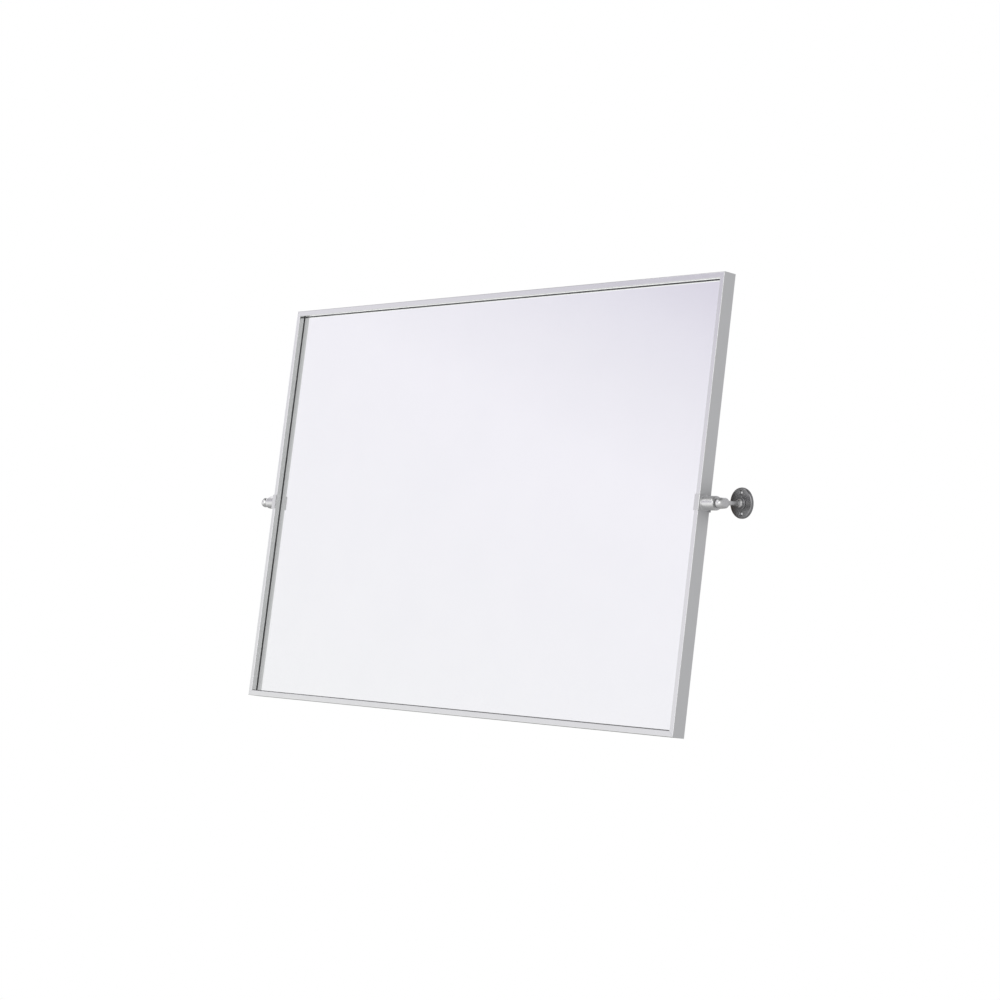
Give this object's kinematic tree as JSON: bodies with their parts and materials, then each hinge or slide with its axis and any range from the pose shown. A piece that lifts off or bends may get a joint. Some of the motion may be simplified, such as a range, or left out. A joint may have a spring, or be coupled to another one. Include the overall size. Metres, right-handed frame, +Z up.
{
  "type": "pivot wall mirror",
  "caption": "Framed rectangular wall mirror that tilts on a horizontal axis between two round wall plates.",
  "frame": {"origin": "on the wall plane, at the centre of the four wall screw holes, level with the pivot axis", "axes": "+X to the right of someone who faces the mirror, +Y into the wall, +Z up"},
  "size_m": [1.3504, 0.1414, 0.7566],
  "materials": {
    "frame_satin": "satin anodised",
    "bracket_satin": "satin",
    "plate_satin": "dark satin",
    "zinc_steel": "zinc plated",
    "screw_steel": "plain steel",
    "glass": "clear float glass, polished",
    "silvering": "silvered, painted behind",
    "board": "hardboard",
    "washer_nylon": "matte nylon"
  },
  "bodies": {
    "wall_brackets": {"left_wall_plate": "plate_satin", "left_post_collar": "bracket_satin", "left_post": "bracket_satin", "left_post_screw": "zinc_steel", "left_knuckle": "bracket_satin", "left_pivot_bolt": "screw_steel", "left_friction_washer": "washer_nylon", "left_spring_washer": "zinc_steel", "right_wall_plate": "plate_satin", "right_post_collar": "bracket_satin", "right_post": "bracket_satin", "right_post_screw": "zinc_steel", "right_knuckle": "bracket_satin", "right_pivot_bolt": "screw_steel", "right_friction_washer": "washer_nylon", "right_spring_washer": "zinc_steel"},
    "mirror_panel": {"frame_top_rail": "frame_satin", "frame_bottom_rail": "frame_satin", "frame_left_stile": "frame_satin", "frame_right_stile": "frame_satin", "corner_angles": "zinc_steel", "corner_screws": "screw_steel", "mirror_glass": "glass", "silver_coating": "silvering", "backing_board": "board", "spring_clips": "zinc_steel", "left_saddle": "bracket_satin", "left_nut_plate": "zinc_steel", "left_saddle_screws": "screw_steel", "left_barrel": "bracket_satin", "right_saddle": "bracket_satin", "right_nut_plate": "zinc_steel", "right_saddle_screws": "screw_steel", "right_barrel": "bracket_satin"}
  },
  "joints": [
    {"name": "mirror_tilt", "type": "hinge", "parent": "wall_brackets", "child": "mirror_panel", "pos_m": [0, -0.0462, 0], "axis": [1, 0, 0], "range_deg": [-3.2, 20.8]}
  ]
}
